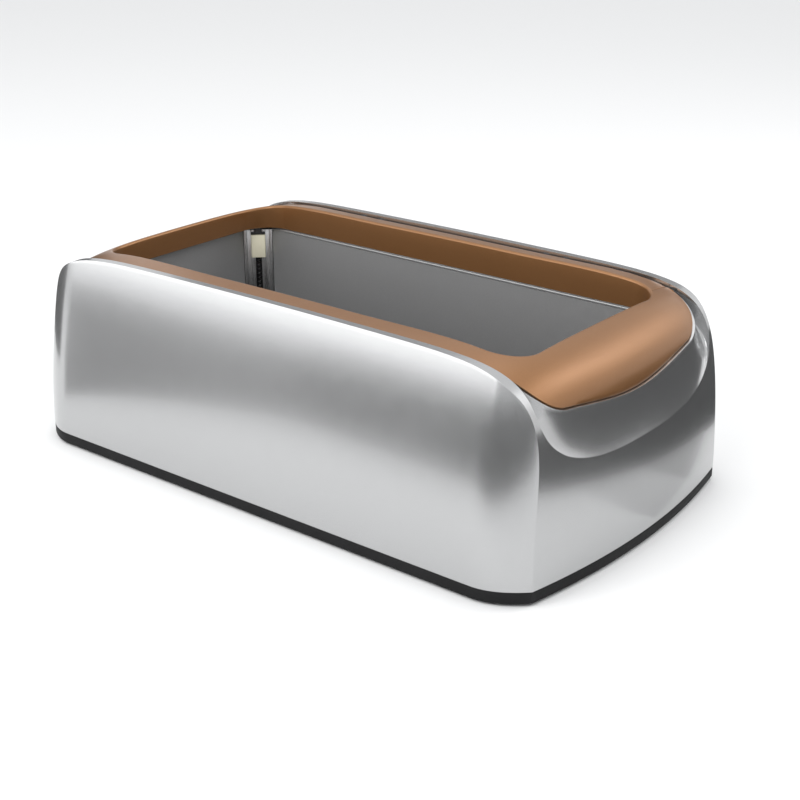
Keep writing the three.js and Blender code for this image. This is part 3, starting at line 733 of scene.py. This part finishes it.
def make_base():
    edge = 0.5
    levels = [(4, BASE_FLOOR), (4, BASE_TOP - 0.3), (4 - 0.3, BASE_TOP), (edge, BASE_TOP), (0, BASE_TOP - edge),
              (0, BASE_BOTTOM + 1.6), (0.6, BASE_BOTTOM + 0.4), (1.4, BASE_BOTTOM)]
    made = Builder()
    rows = made.rings([[(x, y, z) for x, y in footprint(inset)] for inset, z in levels])
    made.faces.append(tuple(rows[0]))
    made.faces.append(tuple(rows[-1]))
    base = made.object("base_tray_skin")
    pockets = Builder()
    places = []  # of the tray screws, rail screws and feet, each with a radius and a top
    for x in (-TRAY_SCREW_X, 0, TRAY_SCREW_X):
        for y in (-TRAY_SCREW_Y, TRAY_SCREW_Y):
            places.append((x, y, 4.5, 3.2))
    for sx, sy in CORNERS.values():
        away = (RAIL_HALF - RAIL_SCREW_INSET) / math.sqrt(2)
        places.append((sx * (WELL_X - away), sy * (WELL_Y - away), 3.8, 3.4))
        places.append((sx * FOOT_X, sy * FOOT_Y, 10.3, 2.9))
    for x, y, radius, top in places:
        low, high = pockets.rings([[(px, py, z) for px, py in circle(radius, x, y)] for z in (-1, top)])
        pockets.faces.append(tuple(low))
        pockets.faces.append(tuple(high))
    cut(base, pockets.object("pockets"))
    return shade(base, 30)


def make_liner(name, half, distance, turn):
    """A thin wall whose top edge is rolled outward."""
    low = LINER_TOP - LINER
    section = [(0, BASE_FLOOR + 0.3), (0, 60.0), (0, low - 2.1)]
    section += [(-0.6 * math.sin(a), low - 1.1 - math.cos(a)) for a in [math.pi * i / 10 for i in range(1, 10)]]
    section += [(0, low)]
    section += [(LINER - LINER * math.cos(a), low + LINER * math.sin(a))
                for a in [math.pi / 2 * i / 8 for i in range(1, 9)]]
    section += [(LINER_FLANGE, LINER_TOP), (LINER_FLANGE, low), (LINER + 0.4, low), (LINER, low - 0.4),
                (LINER, 60.0), (LINER, BASE_FLOOR + 0.3)]
    rows = []
    count = 24
    for i in range(count + 1):
        x = -half + 2 * half * i / count
        row = []
        for out, z in section:
            y = distance + out
            row.append((x * math.cos(turn) - y * math.sin(turn), x * math.sin(turn) + y * math.cos(turn), z))
        rows.append(row)
    made = Builder()
    made_rows = made.rings(rows)
    made.faces.append(tuple(made_rows[0]))
    made.faces.append(tuple(made_rows[-1]))
    return shade(made.object(name), 40)


def refine(node, name, width, segments=2, degrees=28):
    """A copy of a CAD node with flat faces merged and edges rounded."""
    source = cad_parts[node]
    mesh = source.data.copy()
    bm = bmesh.new()
    bm.from_mesh(mesh)
    bmesh.ops.remove_doubles(bm, verts=bm.verts, dist=0.00001)
    bmesh.ops.dissolve_limit(bm, angle_limit=math.radians(1.5), verts=bm.verts, edges=bm.edges)
    bmesh.ops.recalc_face_normals(bm, faces=bm.faces)
    bm.to_mesh(mesh)
    bm.free()
    mesh.materials.clear()
    piece = bpy.data.objects.new(name, mesh)
    bpy.context.scene.collection.objects.link(piece)
    bevel(piece, width, segments, degrees)
    return shade(piece, 34)


def paint_slot_shade(piece, corner, material):
    """Painted shade: the walls of a rail's slot and chamber get a second, black material that stands in for the
    shade inside the deep slot, unlike its bright outside.
    """
    low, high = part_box(f"pusher_spring_{corner}")
    middle = (low + high) / 2
    sx, sy = CORNERS[corner]
    half_width, front, back = 5.6 * MM, -3.2 * MM, 2.3 * MM  # of the slot and chamber, from the spring's axis
    piece.data.materials.append(material)
    for face in piece.data.polygons:
        dx, dy = face.center.x - middle.x, face.center.y - middle.y
        along, depth = (dx * sy - dy * sx) / math.sqrt(2), (dx * sx + dy * sy) / math.sqrt(2)
        if abs(along) < half_width and front < depth < back and abs(face.normal.z) < 0.5:
            # Painted shade on the slot's walls.
            face.material_index = 1


def make_spring(corner):
    """A wound compression spring in the rail's chamber."""
    low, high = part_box(f"pusher_spring_{corner}")
    cx, cy = (low.x + high.x) / 2 / MM, (low.y + high.y) / 2 / MM
    bottom, top = low.z / MM, high.z / MM
    wire, mean, turns, steps, sides = 0.3, 1.38, 26, 18, 8
    total = turns * steps
    closed = 2.0 / turns  # the part of the turns that is wound close, at each end
    rows = []
    for i in range(total + 1):
        t = i / total
        if t < closed:
            lift = 0.25 * t
        elif t > 1 - closed:
            lift = 1 - 0.25 * closed * (1 - t) / closed
        else:
            lift = 0.25 * closed + (1 - 0.5 * closed) * (t - closed) / (1 - 2 * closed)
        z = bottom + wire + (top - bottom - 2 * wire) * lift
        angle = 2 * math.pi * turns * t
        row = []
        for k in range(sides):
            a = 2 * math.pi * k / sides
            r = mean + wire * math.cos(a)
            row.append((cx + r * math.cos(angle), cy + r * math.sin(angle), z + wire * math.sin(a)))
        rows.append(row)
    made = Builder()
    made_rows = made.rings(rows)
    made.faces.append(tuple(made_rows[0]))
    made.faces.append(tuple(made_rows[-1]))
    spring = shade(made.object(f"spring_{corner}", weld=0.0005), 60)
    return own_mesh(spring)


# ---------------------------------------------------------------- materials


class Nodes:
    """A material's node tree, with short calls for the nodes used here."""

    def __init__(self, name):
        self.material = bpy.data.materials.new(name)
        self.material.use_nodes = True
        self.tree = self.material.node_tree
        self.shader = self.tree.nodes["Principled BSDF"]
        self.place = self.tree.nodes.new("ShaderNodeTexCoord").outputs["Object"]

    def link(self, a, b):
        self.tree.links.new(a, b)

    def stretch(self, x, y, z):
        node = self.tree.nodes.new("ShaderNodeMapping")
        node.inputs["Scale"].default_value = (x, y, z)
        self.link(self.place, node.inputs["Vector"])
        return node.outputs["Vector"]

    def noise(self, scale, detail=3.0, rough=0.5, vector=None):
        node = self.tree.nodes.new("ShaderNodeTexNoise")
        node.inputs["Scale"].default_value = scale
        node.inputs["Detail"].default_value = detail
        node.inputs["Roughness"].default_value = rough
        self.link(vector or self.place, node.inputs["Vector"])
        return node.outputs["Fac"]

    def remap(self, value, low, high, from_low=0.0, from_high=1.0):
        node = self.tree.nodes.new("ShaderNodeMapRange")
        node.inputs["From Min"].default_value = from_low
        node.inputs["From Max"].default_value = from_high
        node.inputs["To Min"].default_value = low
        node.inputs["To Max"].default_value = high
        self.link(value, node.inputs["Value"])
        return node.outputs["Result"]

    def ramp(self, value, stops):
        node = self.tree.nodes.new("ShaderNodeValToRGB")
        ramp = node.color_ramp
        while len(ramp.elements) < len(stops):
            ramp.elements.new(0.5)
        for element, (at, colour) in zip(ramp.elements, stops):
            element.position = at
            element.color = (*colour, 1)
        self.link(value, node.inputs["Fac"])
        return node.outputs["Color"]

    def edges(self, low=0.5, high=0.62):
        """1 on convex edges and 0 on flat surfaces; the mask of the painted edge highlight."""
        node = self.tree.nodes.new("ShaderNodeNewGeometry")
        return self.remap(node.outputs["Pointiness"], 0.0, 1.0, low, high)

    def mix(self, factor, a, b):
        node = self.tree.nodes.new("ShaderNodeMix")
        node.data_type = "RGBA"
        self.link(factor, node.inputs["Factor"])
        for source, socket in ((a, node.inputs[6]), (b, node.inputs[7])):
            if isinstance(source, tuple):
                socket.default_value = (*source, 1)
            else:
                self.link(source, socket)
        return node.outputs[2]

    def bump(self, height, strength, distance):
        node = self.tree.nodes.new("ShaderNodeBump")
        node.inputs["Strength"].default_value = strength
        node.inputs["Distance"].default_value = distance
        self.link(height, node.inputs["Height"])
        last = getattr(self, "last_bump", None)
        if last:
            self.link(last, node.inputs["Normal"])
        self.last_bump = node.outputs["Normal"]
        self.link(self.last_bump, self.shader.inputs["Normal"])

    def set(self, **values):
        for name, value in values.items():
            self.shader.inputs[name.replace("_", " ")].default_value = value
        return self


def lacquer(name, dark, light, painted_edge_highlight, metallic, rough_low, rough_high, coat, coat_rough):
    """Metallic lacquer: flake in the colour and the surface, a little orange peel, and a painted highlight that
    makes convex edges paler.
    """
    n = Nodes(name)
    flake = n.noise(5200, 1.0)
    patch = n.noise(120, 3.0)
    tone = n.ramp(flake, [(0.3, dark), (0.7, light)])
    edge = n.edges(0.54, 0.66)
    # Painted highlight: convex edges take the paler third colour.
    n.link(n.mix(edge, tone, painted_edge_highlight), n.shader.inputs["Base Color"])
    n.link(n.remap(patch, rough_low, rough_high, 0.3, 0.7), n.shader.inputs["Roughness"])
    n.bump(n.noise(2600, 1.0), 0.02, 0.0002)
    n.bump(n.noise(240, 2.0), 0.008, 0.0006)
    n.set(Metallic=metallic, Coat_Weight=coat, Coat_Roughness=coat_rough)
    return n.material


def moulded(name, dark, light, rough_low, rough_high, grain, height, specular=0.5):
    """Moulded plastic: fine grain, slow tone change and a painted highlight that makes convex edges lighter."""
    n = Nodes(name)
    tone = n.ramp(n.noise(40, 5.0), [(0.3, dark), (0.7, light)])
    edge = n.edges(0.52, 0.62)
    # Painted highlight: a lighter copy of the plastic's colour on convex edges.
    painted_edge_highlight_colour = tuple(min(1.0, c * 1.35 + 0.01) for c in light)
    n.link(n.mix(edge, tone, painted_edge_highlight_colour), n.shader.inputs["Base Color"])
    n.link(n.remap(n.noise(grain, 3.0), rough_low, rough_high, 0.3, 0.7), n.shader.inputs["Roughness"])
    n.bump(n.noise(grain, 3.0), height, 0.0004)
    n.set(Specular_IOR_Level=specular)
    return n.material


def brushed(name, dark, light, rough_low, rough_high, stretch, scale, height):
    """Metal with a drawn or brushed grain."""
    n = Nodes(name)
    grain = n.noise(scale, 4.0, 0.6, n.stretch(*stretch))
    tone = n.ramp(grain, [(0.3, dark), (0.7, light)])
    n.link(tone, n.shader.inputs["Base Color"])
    n.link(n.remap(grain, rough_low, rough_high, 0.3, 0.7), n.shader.inputs["Roughness"])
    n.bump(grain, height, 0.0002)
    n.bump(n.noise(60, 2.0), 0.02, 0.001)
    n.set(Metallic=1.0)
    return n.material


# The third colour of each lacquer is the painted highlight on its convex edges.
SILVER = lacquer("silver_lacquer", (0.43, 0.432, 0.435), (0.51, 0.512, 0.515), (0.62, 0.62, 0.62),
                 0.9, 0.22, 0.24, 0.35, 0.06)
BRONZE = lacquer("bronze_lacquer", (0.235, 0.104, 0.034), (0.295, 0.138, 0.05), (0.42, 0.235, 0.11),
                 0.62, 0.34, 0.38, 0.4, 0.22)
SATIN = lacquer("satin_liner", (0.38, 0.382, 0.385), (0.48, 0.482, 0.485), (0.62, 0.62, 0.62),
                0.6, 0.34, 0.4, 0.0, 0.2)
BLACK = moulded("black_base_plastic", (0.006, 0.006, 0.0065), (0.011, 0.011, 0.0115),
                0.5, 0.62, 900, 0.12, 0.1)
# Black plastic of the fittings, also put on the rail slots' walls as painted shade.
BLACK_FITTING_AND_SLOT_SHADE = moulded("black_fitting_plastic_and_slot_shade", (0.012, 0.012, 0.013), (0.024, 0.024, 0.025), 0.3, 0.45, 1500, 0.08)
NYLON = moulded("cream_nylon", (0.55, 0.52, 0.38), (0.64, 0.61, 0.47), 0.35, 0.48, 700, 0.06)
RUBBER = moulded("foot_rubber", (0.008, 0.008, 0.008), (0.016, 0.016, 0.016), 0.7, 0.85, 500, 0.2, 0.3)
ALUMINIUM = brushed("rail_aluminium", (0.42, 0.425, 0.43), (0.62, 0.625, 0.63),
                    0.24, 0.36, (40, 40, 1), 120, 0.1)
STEEL = brushed("plated_steel", (0.38, 0.385, 0.4), (0.55, 0.555, 0.57), 0.22, 0.36, (1, 1, 1), 900, 0.05)
WIRE = brushed("spring_wire", (0.13, 0.13, 0.135), (0.24, 0.24, 0.245), 0.3, 0.45, (1, 1, 1), 1500, 0.05)


def dress(piece, material, body, slot, *nodes):
    piece.data.materials.clear()
    piece.data.materials.append(material)
    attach(piece, body)
    if nodes:
        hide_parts(*nodes)
    return piece


# ---------------------------------------------------------------- pieces

dress(make_shell(), SILVER, "body", "silver_shell", "outer_shell")
lid_piece, eyes_piece = make_lid()
dress(lid_piece, BRONZE, "lid", "bronze_lid", "lid_frame")
dress(eyes_piece, BRONZE, "lid", "bronze_lid")
dress(make_strip(), BRONZE, "lid", "bronze_lid", "lid_side_strip")
dress(make_base(), BLACK, "body", "black_base", "base_tray")

LONG = WELL_X - RAIL_HALF * math.sqrt(2) - 0.4
SHORT = WELL_Y - RAIL_HALF * math.sqrt(2) - 0.4
for side, half, distance, turn in (
    ("far", LONG, WELL_Y, 0), ("near", LONG, WELL_Y, math.pi),
    ("rear", SHORT, WELL_X, math.pi / 2), ("front", SHORT, WELL_X, -math.pi / 2),
):
    liner = make_liner(f"liner_{side}", half, distance, turn)
    dress(liner, SATIN, "body", "satin_liner", f"liner_panel_{side}")

for corner in CORNERS:
    for node, name, width, material, body, slot in (
        (f"corner_rail_{corner}", f"rail_{corner}", 0.3, ALUMINIUM, "body", "rail_aluminium"),
        (f"rail_foot_{corner}", f"foot_socket_{corner}", 0.3, BLACK_FITTING_AND_SLOT_SHADE, "body", "black_fittings"),
        (f"rail_top_catch_{corner}", f"catch_{corner}", 0.3, BLACK_FITTING_AND_SLOT_SHADE, "body", "black_fittings"),
        (f"pusher_{corner}", f"pusher_block_{corner}", 0.45, NYLON, f"pusher_{corner}", "cream_nylon"),
        (f"rail_screw_{corner}", f"rail_screw_head_{corner}", 0.2, STEEL, "body", "plated_steel"),
        (f"rubber_foot_{corner}", f"rubber_pad_{corner}", 0.5, RUBBER, "body", "foot_rubber"),
    ):
        piece = dress(refine(node, name, width), material, body, slot, node)
        if material is ALUMINIUM:
            # Painted shade: the rail's slot walls get the black fitting material in place of the shade inside
            # the slot.
            paint_slot_shade(piece, corner, BLACK_FITTING_AND_SLOT_SHADE)
    dress(make_spring(corner), WIRE, "body", "spring_steel", f"pusher_spring_{corner}")

for place in ("rear", "middle", "front"):
    for side in ("far", "near"):
        node = f"base_screw_{place}_{side}"
        dress(refine(node, f"tray_screw_{place}_{side}", 0.2), STEEL, "body", "plated_steel", node)
for place in ("rear", "front"):
    for node, name, body in (
        (f"lid_hinge_pin_{place}", f"hinge_pin_{place}", "body"),
        (f"lid_magnet_{place}", f"magnet_{place}", "body"),
        (f"strike_plate_{place}", f"strike_disc_{place}", "lid"),
    ):
        dress(refine(node, name, 0.15), STEEL, body, "plated_steel", node)

# ---------------------------------------------------------------- studio


def stage_plane(name, size_x, size_y, location, rotation, material):
    mesh = bpy.data.meshes.new(name)
    x, y = size_x / 2, size_y / 2
    mesh.from_pydata([(-x, -y, 0), (x, -y, 0), (x, y, 0), (-x, y, 0)], [], [(0, 1, 2, 3)])
    plane = bpy.data.objects.new(name, mesh)
    bpy.context.scene.collection.objects.link(plane)
    plane.location = location
    plane.rotation_euler = rotation
    mesh.materials.append(material)
    return plane


def flat_material(name, colour, rough):
    material = bpy.data.materials.new(name)
    material.use_nodes = True
    shader = material.node_tree.nodes["Principled BSDF"]
    shader.inputs["Base Color"].default_value = (*colour, 1)
    shader.inputs["Roughness"].default_value = rough
    return material


def softbox(name, location, target, size_x, size_y, power, colour=(1, 1, 1)):
    data = bpy.data.lights.new(name, "AREA")
    data.shape = "RECTANGLE"
    data.size = size_x
    data.size_y = size_y
    data.energy = power
    data.color = colour
    light = bpy.data.objects.new(name, data)
    bpy.context.scene.collection.objects.link(light)
    light.location = location
    light.rotation_euler = (Vector(target) - Vector(location)).to_track_quat("-Z", "Y").to_euler()
    return light


def flag(name, start, end, low, high, tone):
    """A grey card that stands beside the set, between two places in plan and two heights."""
    (x0, y0), (x1, y1) = start, end
    place = ((x0 + x1) / 2, (y0 + y1) / 2, (low + high) / 2)
    turn = (math.pi / 2, 0, math.atan2(y1 - y0, x1 - x0))
    return unseen(stage_plane(name, math.dist(start, end), high - low, place, turn,
                              flat_material(name, (tone,) * 3, 0.9)))


def unseen(card):
    """Only reflections show the card."""
    card.visible_camera = False
    card.visible_shadow = False
    card.visible_diffuse = False
    return card


stage_plane("floor", 40, 40, (0, 0, 0), (0, 0, 0), flat_material("pale_floor", (0.82, 0.82, 0.82), 0.7))
flag("flag_near", (-0.28, -0.2), (-0.28, -1.1), 0, 0.12, 0.3)
flag("flag_front", (-0.28, -0.5), (-0.06, -0.46), 0, 0.14, 0.2)
flag("flag_corner", (-0.06, -0.46), (0.6, -0.42), 0, 0.14, 0.04)
flag("flag_rear", (-0.45, -0.22), (-0.45, 0.12), 0, 0.35, 0.08)
flag("flag_end", (0.41, -0.08), (0.03, 0.48), 0, 0.1, 0.04)
flag("flag_end_high", (0.52, -0.12), (0.08, 0.62), 0.1, 0.42, 0.75)
flag("flag_back", (-0.8, 0.55), (0.12, 1.0), 0.25, 0.62, 0.25)
for name, y0, y1, tone in (("flag_floor", 0.03, 0.1, 0.62), ("flag_floor_far", 0.1, 0.5, 0.42)):
    place = (0.375, (y0 + y1) / 2, 0.002)
    unseen(stage_plane(name, 0.3, y1 - y0, place, (0, 0, 0), flat_material(name, (tone,) * 3, 0.9)))

world = bpy.data.worlds.new("studio")
bpy.context.scene.world = world
world.use_nodes = True
world.node_tree.nodes["Background"].inputs["Color"].default_value = (0.98, 0.99, 1.0, 1)
world.node_tree.nodes["Background"].inputs["Strength"].default_value = 0.97

softbox("key_top", (-0.2, 0.1, 1.6), (0, 0, 0), 1.8, 1.4, 6)
softbox("front_left", (-1.1, -1.3, 0.75), (0, 0, 0.12), 1.8, 1.1, 10)
softbox("back_high", (0.76, 0.9, 0.78), (0.15, 0, 0.1), 0.6, 0.45, 4.6)
softbox("well_fill", (0.05, -0.62, 0.62), (0.05, 0.08, 0.1), 0.5, 0.3, 2.5)
bpy.context.scene.view_settings.view_transform = "Standard"
